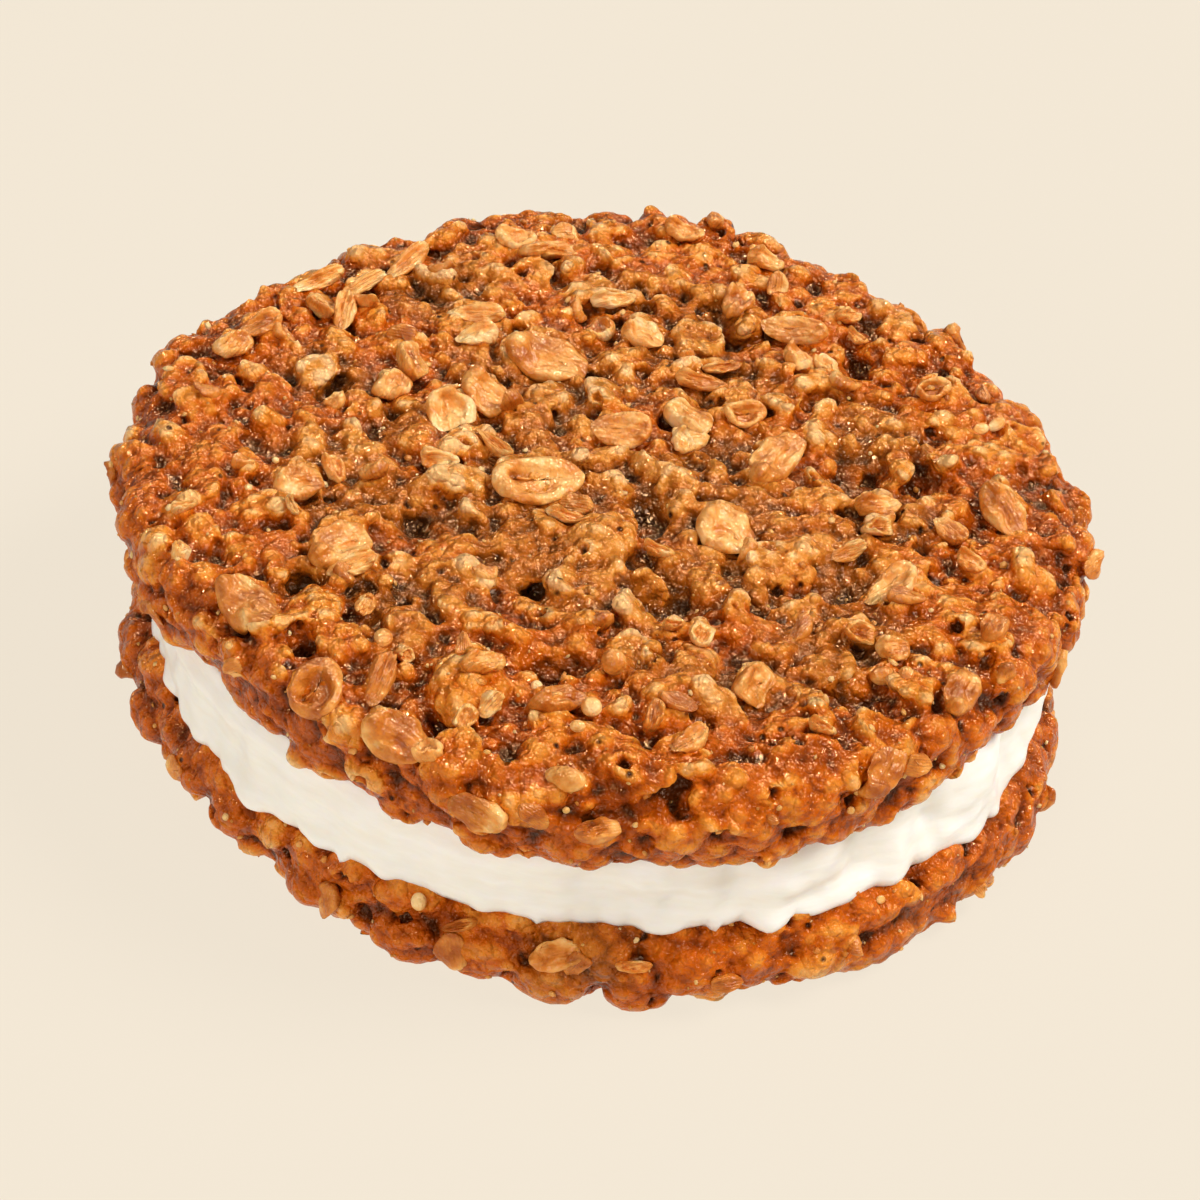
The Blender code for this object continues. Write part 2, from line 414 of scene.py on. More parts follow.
# Bare and half-coated rolled oats
OATS = (
    Seen(537, 482, "ring", 95, 57, -3, 0.25),
    Seen(450, 414, "curl", 52, 58, -80, 0.15),
    Seen(484, 398, "disc", 62, 40, -30, 0.45),
    Seen(478, 316, "crease", 60, 26, -4, 0.35),
    Seen(478, 336, "crease", 46, 24, 12, 0.15),
    Seen(408, 264, "crease", 56, 24, 38, 0.25),
    Seen(318, 282, "crease", 62, 20, 22, 0.3),
    Seen(362, 284, "crease", 40, 18, 30, 0.3),
    Seen(322, 306, "fold", 26, 34, 60, 0.35),
    Seen(345, 312, "crease", 40, 26, 75, 0.4),
    Seen(366, 304, "fold", 24, 30, 80, 0.35),
    Seen(516, 242, "disc", 44, 24, 8, 0.3),
    Seen(550, 250, "torn", 46, 20, -12, 0.4),
    Seen(612, 301, "disc", 48, 17, 5, 0.1),
    Seen(600, 330, "curl", 30, 34, 150, 0.3),
    Seen(645, 336, "torn", 48, 32, -20, 0.35),
    Seen(551, 360, "torn", 92, 54, -18, 0.6),
    Seen(234, 344, "disc", 38, 30, 40, 0.5),
    Seen(262, 326, "crease", 46, 26, 15, 0.55),
    Seen(413, 362, "fold", 36, 40, 30, 0.3),
    Seen(393, 386, "disc", 34, 36, 60, 0.3),
    Seen(622, 432, "crease", 62, 48, -12, 0.3),
    Seen(690, 418, "fold", 42, 54, 60, 0.2),
    Seen(682, 443, "disc", 28, 24, -35, 0.15),
    Seen(744, 416, "ring", 46, 32, 0, 0.35),
    Seen(440, 460, "disc", 42, 26, -8, 0.2),
    Seen(493, 446, "crease", 46, 14, -48, 0.45),
    Seen(300, 482, "torn", 56, 42, 12, 0.45),
    Seen(334, 470, "disc", 22, 34, 20, 0.4),
    Seen(340, 545, "torn", 72, 54, 24, 0.5),
    Seen(352, 566, "crease", 50, 26, 14, 0.2),
    Seen(181, 553, "torn", 22, 22, 30, 0.2),
    Seen(185, 508, "disc", 30, 9, 26, 0.2),
    Seen(291, 507, "disc", 24, 9, -55, 0.2),
    Seen(252, 606, "torn", 68, 52, -28, 0.6),
    Seen(366, 604, "disc", 22, 18, 50, 0.2),
    Seen(318, 690, "ring", 66, 58, 50, 0.7),
    Seen(398, 736, "torn", 76, 56, -30, 0.6),
    Seen(381, 678, "crease", 54, 28, 72, 0.55),
    Seen(404, 654, "disc", 20, 16, 30, 0.25),
    Seen(566, 519, "disc", 50, 12, -12, 0.35),
    Seen(484, 664, "disc", 50, 24, 14, 0.45),
    Seen(466, 716, "disc", 28, 24, 70, 0.25),
    Seen(488, 704, "crease", 30, 22, 60, 0.35),
    Seen(654, 716, "disc", 38, 20, 80, 0.4),
    Seen(690, 744, "crease", 40, 26, 20, 0.45),
    Seen(702, 634, "curl", 32, 30, 60, 0.3),
    Seen(673, 627, "disc", 24, 9, 12, 0.2),
    Seen(660, 553, "disc", 32, 12, -6, 0.4),
    Seen(728, 532, "torn", 66, 52, -30, 0.4),
    Seen(774, 458, "torn", 82, 46, 44, 0.55),
    Seen(878, 507, "disc", 48, 24, 6, 0.5),
    Seen(879, 528, "curl", 34, 22, 0, 0.3),
    Seen(1006, 512, "torn", 72, 40, -60, 0.55),
    Seen(847, 553, "crease", 34, 22, 20, 0.35),
    Seen(893, 590, "crease", 64, 36, 32, 0.4),
    Seen(862, 634, "curl", 36, 26, -14, 0.35),
    Seen(893, 650, "disc", 34, 28, 6, 0.35),
    Seen(755, 688, "fold", 50, 44, -30, 0.5),
    Seen(822, 729, "disc", 32, 12, -12, 0.15),
    Seen(949, 532, "crease", 38, 26, -50, 0.5),
    Seen(971, 563, "disc", 34, 22, -20, 0.55),
    Seen(993, 628, "torn", 40, 30, 50, 0.6),
    Seen(796, 333, "crease", 70, 34, -14, 0.5),
    Seen(799, 361, "disc", 36, 14, -6, 0.3),
    Seen(828, 369, "curl", 30, 18, 0, 0.3),
    Seen(846, 318, "disc", 28, 14, 0, 0.3),
    Seen(858, 340, "disc", 24, 12, -20, 0.3),
    Seen(933, 391, "ring", 36, 26, 0, 0.35),
    Seen(739, 304, "disc", 34, 22, 15, 0.5),
    Seen(765, 262, "disc", 40, 20, -20, 0.55),
    Seen(683, 234, "disc", 44, 20, -12, 0.6),
    Seen(480, 813, "crease", 66, 40, -24, 0.6),
    Seen(560, 700, "torn", 60, 30, 0, 0.7),
    Seen(430, 752, "disc", 26, 30, 80, 0.35),
    Seen(600, 830, "torn", 50, 26, 12, 0.75),
    Seen(880, 770, "torn", 60, 40, 60, 0.75),
    Seen(960, 690, "torn", 56, 40, 60, 0.7),
    Seen(700, 384, "disc", 56, 18, -8, 0.6),
    Seen(720, 368, "disc", 44, 12, 10, 0.6),
)

# Half-coated oats on the rim of the bottom cookie
RIM_OATS = (
    Seen(558, 953, "torn", 58, 36, 8, 0.5),
    Seen(632, 966, "disc", 40, 14, 4, 0.7),
    Seen(462, 925, "crease", 40, 14, 10, 0.75),
)

# Smooth round lumps that are all dough
LUMPS = (
    Seen(598, 552, "knob", 86, 66, 10),
    Seen(470, 690, "knob", 88, 78, 30),
    Seen(672, 706, "knob", 66, 60, 160),
    Seen(656, 690, "knob", 34, 30, 40),
    Seen(690, 694, "knob", 34, 36, -40),
    Seen(700, 722, "knob", 32, 34, 70),
    Seen(205, 586, "knob", 42, 48, 40),
    Seen(434, 582, "knob", 44, 38, 0),
    Seen(681, 510, "knob", 36, 40, 0),
    Seen(497, 552, "knob", 22, 30, 80),
    Seen(510, 536, "knob", 24, 20, 20),
    Seen(614, 666, "knob", 40, 40, 0),
    Seen(638, 655, "knob", 26, 26, 0),
    Seen(459, 625, "knob", 26, 24, 0),
    Seen(372, 460, "knob", 40, 30, 20),
    Seen(426, 273, "knob", 24, 20, 0),
    Seen(450, 288, "knob", 32, 26, 0),
    Seen(628, 268, "knob", 34, 24, 0),
    Seen(600, 392, "knob", 24, 22, 0),
    Seen(710, 572, "knob", 26, 30, 0),
    Seen(610, 760, "knob", 70, 50, -12),
    Seen(730, 790, "knob", 70, 56, 20),
    Seen(820, 790, "knob", 60, 50, 20),
    Seen(540, 760, "knob", 50, 40, -20),
)

# Round seeds and knobs of grain that stay pale
SEEDS = (
    Seen(567, 781, "knob", 42, 26, -6, 0.3),
    Seen(592, 709, "knob", 22, 18, 0, 0.2),
    Seen(578, 727, "knob", 16, 12, 0, 0.3),
    Seen(614, 664, "knob", 26, 26, 0, 0.5),
    Seen(997, 425, "knob", 20, 12, 30, 0.3),
    Seen(980, 430, "knob", 16, 12, 0, 0.3),
    Seen(384, 640, "knob", 20, 16, 20, 0.4),
    Seen(906, 676, "knob", 16, 14, 0, 0.4),
    Seen(882, 676, "knob", 26, 20, 0, 0.45),
    Seen(537, 687, "knob", 12, 10, 0, 0.1),
    Seen(566, 810, "knob", 8, 7, 0, 0.0),
    Seen(636, 825, "knob", 7, 6, 0, 0.0),
    Seen(851, 810, "knob", 8, 8, 0, 0.0),
)

# Crumbs of grain on the rim of the bottom cookie
RIM_SEEDS = (
    Seen(419, 901, "knob", 16, 18, 20, 0.1),
    Seen(571, 949, "knob", 7, 8, 0, 0.0),
    Seen(300, 844, "knob", 7, 7, 0, 0.0),
    Seen(226, 817, "knob", 7, 8, 0, 0.0),
    Seen(880, 900, "knob", 9, 9, 0, 0.1),
)


# ------------------------------------------------------------------ the cookies

# The cookies' driving sizes, as in the solids they stand for
TOP_RADIUS = 48.0 * MM
BOTTOM_RADIUS = 46.8 * MM
BOTTOM_SHIFT = Vector((0.5, -0.2, 0.0)) * MM
TOP_WAVES = ((2, 0.021, 3.69), (3, 0.007, 3.14), (4, 0.022, 0.05))
BOTTOM_WAVES = ((2, 0.023, 1.17), (3, 0.013, -3.61), (4, 0.012, 0.84))
LUMP_HEIGHT = 2.0 * MM  # how far the lumps stand out of the dough under them
EDGE_ROUNDING = 0.36  # of the thickness
SWELL_HEIGHT = 1.9 * MM
HOLLOW_DEPTH = 2.0 * MM
GRAIN_HEIGHT = 0.18 * MM
NUBS = texture("nubs of dough", "VORONOI", 2.2 * MM, distance_metric="DISTANCE_SQUARED")
GRAIN = texture("grain of dough", "CLOUDS", 0.8 * MM, noise_depth=2)
SWELL = texture("swell of dough", "CLOUDS", 10 * MM, noise_depth=1)
SKIN_TRIANGLES = 190000  # what one cookie's skin may have
COATED = ("coated_a", "coated_b", "coated_c")  # oats under a coat of dough
# Painted shade on the rim: its colour darkens from a share of the bottom cookie's radius over a further
# share, by up to the last of these on the scale of a lump's tint
RIM_SHADE_STARTS = 0.86
RIM_SHADE_SPREADS = 0.12
RIM_PAINTED_SHADE = 0.5


def wave_factor(angle, waves):
    """How far out the outline lies at an angle, as a share of its mean radius."""
    return 1.0 + sum(height * math.cos(count * angle - turn) for count, height, turn in waves)


def lies_at(mesh, edge, level):
    """Whether both ends of an edge lie at a height."""
    return all(abs(mesh.vertices[end].co.z - level) < 0.01 * MM for end in edge.vertices)


def model_dough(name, radius, thickness, waves):
    """The soft disc under the lumps, with its flat tray side at z = 0 and its baked side up."""
    face_height = thickness - 0.8 * LUMP_HEIGHT
    bpy.ops.mesh.primitive_cylinder_add(
        vertices=144,
        radius=radius - 0.5 * LUMP_HEIGHT,
        depth=face_height,
        location=(0, 0, face_height / 2),
    )
    dough = bpy.context.object
    dough.name = name
    settle(dough)
    for level, segments in ((face_height, 8), (0.0, 6)):
        edit(dough, "edges", lambda edge: lies_at(dough.data, edge, level))
        bpy.ops.mesh.bevel(offset=EDGE_ROUNDING * thickness, segments=segments)
        leave_edit()
    points = read_points(dough.data)
    for point in points:
        point[:2] *= wave_factor(math.atan2(point[1], point[0]), waves)
    write_points(dough.data, points)
    worked(dough, "REMESH", mode="VOXEL", voxel_size=1.0 * MM)
    bumped(dough, SWELL, SWELL_HEIGHT)
    return dough


def sink_hollows(dough, hollows):
    """Lowers the dough at its hollows. Returns how sunk each point is, from 0 to 1."""
    surface = surface_of(dough)
    points = read_points(dough.data)
    sunk = np.zeros(len(points))
    for across, down, long, wide in hollows:
        met, _, _, distance = surface.ray_cast(EYE, sight(across, down))
        reach = np.array((long, wide / math.sin(CAMERA_RISE))) / 2 * distance / FOCAL
        apart = (points[:, :2] - np.array(met)[:2]) / reach
        depth = np.exp(-((apart**2).sum(axis=1) ** 2))
        sunk = np.maximum(sunk, depth * (points[:, 2] > met.z - 3 * MM))  # the underside stays
    points[:, 2] -= HOLLOW_DEPTH * sunk
    write_points(dough.data, points)
    return sunk


def press_in(dough, forms, seen_lumps):
    """Lumps of dough for what is seen at known places, and where the oats among them go.

    Returns the pieces, and the point and reach of each oat, which no scattered lump may cover.
    """
    surface = surface_of(dough)
    pieces, taken = [], []
    for seen in seen_lumps:
        mean = (seen.long + seen.wide) / 2 * CAMERA_DISTANCE / FOCAL
        form = forms["knob"] if seen.form == "knob" else forms["coated_a"]
        thick = 0.6 * mean / MM if seen.form == "knob" else 1.5
        matrix, point = placed_as_seen(seen, surface, size_of(form), thick, sunk=0.45, lean=0.2)
        if matrix is None:
            continue
        pieces.append(tinted(copy_of(form, matrix), 1.0 - seen.syrup))
        if seen.form != "knob":
            taken.append((point, 0.4 * mean))
    return pieces, taken


def tinted(piece, tint):
    """Marks all of a lump with how bare it is, from 0 for plain dough to 1 for a bare oat."""
    write_number(piece.data, "tint", tint)
    return piece


def cover_with_lumps(dough, forms, sunk, taken, low, rng):
    """Boulders of dough, coated oats and beads over the baked side and the rim, as loose pieces."""
    level = tree_of([vert.co for vert in dough.data.vertices])
    places = places_on(dough, lambda vert: vert.co.z > low)
    pieces = []
    rims = [place for place in places if place[1].z < 0.6]
    # Lengths are in mm, but an oat's sizes are shares of its own. Each width is a share of the size, and so
    # is a knob's or a bead's height. Stands is how far the middle of a lump is out of the dough.
    for where, kinds, spacing, clear, sizes, narrow, thick, lean, stands in (
        (rims, ("knob",), 5.6, 1.5, (5.0, 8.0), (0.6, 0.9), (0.45, 0.6), 0.2, (0.3, 0.8)),
        (places, ("knob",), 7.5, 2.5, (4.5, 7.0), (0.6, 0.9), (0.35, 0.5), 0.25, (-0.3, 0.2)),
        (places, COATED, 4.2, 1.2, (0.55, 1.0), (0.65, 1.0), (1.0, 1.4), 0.25, (0.1, 0.7)),
        (places, ("bead",), 2.2, 0.2, (1.5, 3.2), (0.65, 1.0), (0.6, 0.85), 0.5, (-0.1, 0.5)),
    ):
        for point, normal in scattered(where, spacing * MM, rng):
            if any((point - other).length < reach + clear * MM for other, reach in taken):
                continue
            side = 1.0 - max(0.0, normal.z)  # the rim is rounder than the face
            if kinds[0] == "bead" and noise.noise(point / (7 * MM)) < 0.35 * side - 0.2:
                continue  # smooth patches are left, most of them at the rim
            flat = 1.0 - sunk[level.find(point)[1]]
            size = rng.uniform(*sizes)
            height = rng.uniform(*thick) * (1.0 if kinds == COATED else size)
            shape = (size, size * rng.uniform(*narrow), height)
            lift = rng.uniform(*stands) * flat - 0.6 * (1 - flat) - 0.6 * side
            if point.z < low + 2.5 * MM:  # nothing pokes out of the tray edge
                lift -= 0.5
            tip = lean * flat * (1 - 0.6 * side)
            spins = 0.4 if side > 0.4 else math.pi  # at the rim, lumps lie along it
            matrix = laid(point + normal * lift * MM, normal, tip, shape, rng, spins)
            bare = rng.uniform(0.0, 1.1) if kinds == COATED else 1.2 * rng.random() ** 4
            pieces.append(tinted(copy_of(forms[rng.choice(kinds)], matrix), bare * flat))
    return pieces


def bake(cookie, voxel, nubs):
    """Melts the lumps into one skin that keeps their tints, pebbles it, and paints shade on its rim."""
    points = read_points(cookie.data)
    tints = np.empty(len(points), np.float32)
    cookie.data.attributes["tint"].data.foreach_get("value", tints)
    lumps = tree_of(points)
    worked(cookie, "REMESH", mode="VOXEL", voxel_size=voxel)
    worked(cookie, "SMOOTH", factor=0.5, iterations=4)
    bumped(cookie, NUBS, -nubs, level=0.2)
    bumped(cookie, GRAIN, GRAIN_HEIGHT)
    triangles = sum(len(face.vertices) - 2 for face in cookie.data.polygons)
    if triangles > SKIN_TRIANGLES:
        worked(cookie, "DECIMATE", decimate_type="COLLAPSE", ratio=SKIN_TRIANGLES / triangles)
    # Painted shade on the rim: its tint is lowered towards the outside, which darkens its colour
    out = np.hypot(*read_points(cookie.data)[:, :2].T) / BOTTOM_RADIUS
    painted_rim_shade = RIM_PAINTED_SHADE * np.clip((out - RIM_SHADE_STARTS) / RIM_SHADE_SPREADS, 0, 1)
    tint = np.array([tints[lumps.find(vert.co)[1]] for vert in cookie.data.vertices])
    write_number(cookie.data, "tint", tint - painted_rim_shade)
    worked(cookie, "SMOOTH", factor=0.3, iterations=1)


def prick(cookie, spacing, low, high, rng):
    """Opens the small bubble holes that steam left in the crust, 0.7 to 1.5 mm across."""
    verts = cookie.data.vertices
    points = tree_of([vert.co for vert in verts])
    places = places_on(cookie, lambda vert: low < vert.co.z < high)
    for point, normal in scattered(places, spacing, rng):
        reach = rng.uniform(0.35, 0.75) * MM
        for _, index, apart in points.find_range(point, reach):
            verts[index].co -= normal * (1.5 * reach * math.sqrt(1.0 - (apart / reach) ** 2))
    cookie.data.update()


def press_flat(cookie, low, high):
    """Presses what stands out below and above two heights flat, as the table, the tray and the cream do."""
    points = read_points(cookie.data)
    points[:, 2] = np.clip(points[:, 2], low, high)
    write_points(cookie.data, points)


def mark_relief(obj, name, rounds):
    """Stores how far each point stands out of the surface around it, in millimetres."""
    smooth = smooth_copy(obj, rounds)
    away = read_points(obj.data) - read_points(smooth.data)
    relief = (away * read_points(smooth.data, "normal")).sum(axis=1) / MM
    write_number(obj.data, name, relief)
    bpy.data.objects.remove(smooth)


def finish_skin(cookie):
    """Stores what the skin's material reads, and drops what it doesn't."""
    # The material reads these two to paint shade in the hollows and light on the tops
    mark_relief(cookie, "relief", 60)
    mark_relief(cookie, "fine_relief", 6)
    for name in ("toast", "UVMap"):
        if name in cookie.data.attributes:
            cookie.data.attributes.remove(cookie.data.attributes[name])
    cookie.data.shade_smooth()


def drop_specks(cookie):
    """Deletes the few tiny specks that the remesh and the thinning left loose from the skin."""
    outmost = max(cookie.data.polygons, key=lambda face: face.center.length).index
    edit(cookie, "polygons", lambda face: face.index == outmost)
    bpy.ops.mesh.select_linked()
    bpy.ops.mesh.select_all(action="INVERT")
    bpy.ops.mesh.delete(type="FACE")
    leave_edit()


def build_top_cookie(forms):
    low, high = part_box("top_cookie")
    rng = random.Random(11)
    dough = model_dough("top_cookie_skin", TOP_RADIUS, high.z - low.z, TOP_WAVES)
    dough.location = (0, 0, low.z)
    settle(dough)
    sunk = sink_hollows(dough, HOLLOWS)
    pieces, taken = press_in(dough, forms, LUMPS + OATS)
    pieces += cover_with_lumps(dough, forms, sunk, taken, low.z + 0.8 * MM, rng)
    cookie = joined([tinted(dough, 0.0), *pieces], "top_cookie_skin")
    above = high.z + 5 * MM  # clear of every lump
    bake(cookie, voxel=0.4 * MM, nubs=0.95 * MM)
    prick(cookie, spacing=5 * MM, low=low.z + 1 * MM, high=above, rng=rng)
    press_flat(cookie, low=low.z - 0.1 * MM, high=above)
    finish_skin(cookie)
    return cookie


def build_bottom_cookie(forms):
    """The bottom cookie lies on its baked side, so it is made like the top one and then turned over."""
    low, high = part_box("bottom_cookie")
    pressed = 1.0 * MM  # what the table presses away
    rng = random.Random(23)
    dough = model_dough("bottom_cookie_skin", BOTTOM_RADIUS, high.z - low.z + pressed, BOTTOM_WAVES)
    pieces = cover_with_lumps(dough, forms, np.zeros(len(dough.data.vertices)), [], 0.8 * MM, rng)
    cookie = joined([tinted(dough, 0.0), *pieces], "bottom_cookie_skin")
    cookie.rotation_euler = (math.pi, 0, 0)
    cookie.location = Vector((0, 0, high.z)) + BOTTOM_SHIFT
    settle(cookie)
    bake(cookie, voxel=0.46 * MM, nubs=0.75 * MM)
    prick(cookie, spacing=7 * MM, low=1 * MM, high=high.z - 1 * MM, rng=rng)
    press_flat(cookie, low=0.0, high=high.z + 0.1 * MM)
    finish_skin(cookie)
    return cookie


# ------------------------------------------------------------------ bare oats, seeds and crumbs

SAG = 0.7  # how closely an oat follows the bumps that it lies on
MOST_SAG = 1.5 * MM  # the highest and deepest bump that it follows


def settled(piece, matrix, bed):
    """Lets a soft, syrupy oat sag onto the bumps that it lies on."""
    middle = matrix.to_translation()
    up = matrix.col[2].to_3d().normalized()
    reach = 4 * MM

    def bed_height(place):
        met, _, _, away = bed.ray_cast(place + up * reach, -up)
        return 0.0 if met is None else max(-MOST_SAG, min(MOST_SAG, reach - away))

    level = bed_height(middle)
    for vert in piece.data.vertices:
        flat = vert.co - up * (vert.co - middle).dot(up)
        vert.co += up * SAG * (bed_height(flat) - level)
    return piece


def soaked(piece, form, syrup):
    """Marks how much syrup each point of an oat took, evenly, and darkens its lower edge more: partly syrup
    where it meets the dough, partly painted shade under its rim.
    """
    heights = read_points(form.data)[:, 2] / OAT_SIZE[2]
    write_number(piece.data, "syrup", syrup + 0.8 * np.clip(0.15 - heights, 0, 1))
    return piece


def lay_oats(forms, skins, rng):
    """The bare rolled oats: the seen ones in their places, and smaller ones scattered over both cookies."""
    pieces = []
    for skin, oats in zip(skins, (OATS, RIM_OATS)):
        smooth = smooth_copy(skin, 8)
        bed = surface_of(smooth)
        bpy.data.objects.remove(smooth)
        for seen in oats:
            form = forms[seen.form]
            matrix, _ = placed_as_seen(seen, bed, size_of(form), 0.95, sunk=0.3, lean=0.2)
            if matrix is None:
                continue
            piece = settled(copy_of(form, matrix), matrix, bed)
            pieces.append(soaked(piece, form, seen.syrup))
    for skin, low, high in zip(skins, (20 * MM, 3 * MM), (40 * MM, 7 * MM)):
        relief = skin.data.attributes["relief"].data
        # They lie on what stands more than 0.25 mm out of the skin
        places = places_on(skin, lambda vert: relief[vert.index].value > 0.25 and low < vert.co.z < high)
        for point, normal in scattered(places, 12 * MM, rng):
            form = forms[rng.choice(("small_a", "small_b"))]
            size = rng.uniform(0.3, 0.62)
            shape = (size, size * rng.uniform(0.55, 1.0), 0.75)
            piece = copy_of(form, laid(point - normal * 0.25 * MM, normal, 0.2, shape, rng))
            pieces.append(soaked(piece, form, rng.uniform(0.4, 0.8)))
    return joined(pieces, "rolled_oats")


def lay_seeds(forms, skins, rng):
    """Pale knobs of grain at their places, and crumbs of oat and bran all over."""
    pieces = []
    for skin, seeds in zip(skins, (SEEDS, RIM_SEEDS)):
        surface = surface_of(skin)
        for seen in seeds:
            thick = 0.8 * min(seen.long, seen.wide) * CAMERA_DISTANCE / FOCAL / MM
            matrix, _ = placed_as_seen(seen, surface, BEAD_SIZE, thick, sunk=0.35, lean=0.3)
            if matrix is None:
                continue
            piece = copy_of(forms["knob"], matrix)
            write_number(piece.data, "syrup", seen.syrup)
            pieces.append(piece)
    for skin in skins:
        places = places_on(skin, lambda vert: vert.co.z > 1 * MM)
        # The smaller crumbs, 0.18 to 0.36 mm, are pale grains that also stand in for glints of sugar, as
        # painted highlights
        for spacing, sizes in ((5.5, (0.35, 0.85)), (3.6, (0.18, 0.36))):
            for point, normal in scattered(places, spacing * MM, rng):
                size = rng.uniform(*sizes)
                shape = (size * rng.uniform(1.0, 1.7), size, size * 0.7)
                piece = copy_of(forms["crumb"], laid(point, normal, 0.6, shape, rng))
                write_number(piece.data, "syrup", rng.uniform(0.0, 0.7))
                pieces.append(piece)
    return joined(pieces, "oat_crumbs")


# ------------------------------------------------------------------ the cream

CREAM_RADIUS = 44.2 * MM
CREAM_SHIFT = Vector((1.1, -0.5, 0.0)) * MM
CREAM_SINKS = 1.2 * MM  # how far the cream reaches into each cookie, so that no gap shows


def ripple(angle, height, across, up, seed):
    """Uneven ripples round the cream, of a size across and a size up, from -1 to 1."""
    turn = Vector((math.cos(angle), math.sin(angle), 0)) * CREAM_RADIUS / across
    return noise.noise(turn + Vector((0, 0, height / up + 17.0 * seed)))


def build_cream():
    """Soft cream pressed out between the cookies: a full belly, a ragged lip below and soft folds."""
    low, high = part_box("cream_filling")
    foot = low.z - CREAM_SINKS
    tall = high.z - low.z + 2 * CREAM_SINKS
    bpy.ops.mesh.primitive_cylinder_add(
        vertices=560, radius=CREAM_RADIUS, depth=tall, location=(0, 0, foot + tall / 2)
    )
    cream = bpy.context.object
    cream.name = "cream_band"
    settle(cream)
    rings = 26
    for ring in range(1, rings):
        edit(cream, "polygons", lambda face: abs(face.normal.z) < 0.5)
        bpy.ops.mesh.bisect(plane_co=(0, 0, foot + tall * ring / rings), plane_no=(0, 0, 1))
        leave_edit()
    for vert in cream.data.vertices:
        angle = math.atan2(vert.co.y, vert.co.x)
        share = min(1.0, max(0.0, (vert.co.z - foot) / tall))
        side = max(0.0, math.cos(angle + math.radians(38))) ** 2  # most folds are at the front right
        belly = 1.0 * math.sin(math.pi * 0.999 * share) ** 0.6
        lip = math.exp(-(((share - 0.1) / 0.14) ** 2))
        ragged = 0.8 * ripple(angle, 0, 8 * MM, 1, 1) + 0.3 * ripple(angle, 0, 2.2 * MM, 1, 2)
        scallops = abs(ripple(angle, 0, 5 * MM, 1, 7))  # round lobes that meet in notches
        points = max(0.0, ripple(angle, 0, 2.0 * MM, 1, 6) - 0.2) ** 2  # a few small pointed drips
        folds = ripple(angle, vert.co.z, 4.2 * MM, 14 * MM, 3) * (0.7 + 2.3 * side)
        smears = ripple(angle, vert.co.z, 12 * MM, 2.2 * MM, 4) * (0.7 - 0.4 * side)
        fine = ripple(angle, vert.co.z, 1.8 * MM, 2.0 * MM, 5) * (0.12 + 0.2 * side)
        middle = math.sin(math.pi * share)
        out = belly + lip * (0.2 + 1.2 * ragged + 1.2 * scallops) + middle * (folds + smears + fine)
        drip = lip * max(-0.6, 1.2 * ragged + 1.6 * scallops + 5.0 * points - 0.3)
        radius = math.hypot(vert.co.x, vert.co.y)
        grow = 1.0 + out * MM / CREAM_RADIUS * min(1.0, radius / CREAM_RADIUS)
        vert.co.x *= grow
        vert.co.y *= grow
        vert.co.z -= drip * MM
    cream.location = CREAM_SHIFT
    settle(cream)
    cream.data.shade_smooth()
    return cream


# ------------------------------------------------------------------ materials


def linear(code):
    """An sRGB hex colour as linear red, green, blue and alpha."""
    shares = [int(code[i : i + 2], 16) / 255 for i in (1, 3, 5)]
    light = [c / 12.92 if c <= 0.04045 else ((c + 0.055) / 1.055) ** 2.4 for c in shares]
    return (*light, 1.0)


def add(tree, kind, settings=None, links=None, stops=()):
    """Adds a node, with its settings, its input values or links, and its colour stops if it has any."""
    node = tree.nodes.new(kind)
    for name, value in (settings or {}).items():
        setattr(node, name, value)
    for name, value in (links or {}).items():
        if isinstance(value, bpy.types.NodeSocket):
            tree.links.new(value, node.inputs[name])
        else:
            node.inputs[name].default_value = value
    for index, (place, code) in enumerate(stops):
        ramp = node.color_ramp.elements
        stop = ramp[index] if index < 2 else ramp.new(place)
        stop.position = place
        stop.color = linear(code)
    return node


def new_material(name, finish):
    """A new material with values set on its shader's sockets, its node tree and its shader."""
    material = bpy.data.materials.new(name)
    material.use_nodes = True
    shader = material.node_tree.nodes["Principled BSDF"]
    for socket, value in finish.items():
        shader.inputs[socket].default_value = value
    return material, material.node_tree, shader


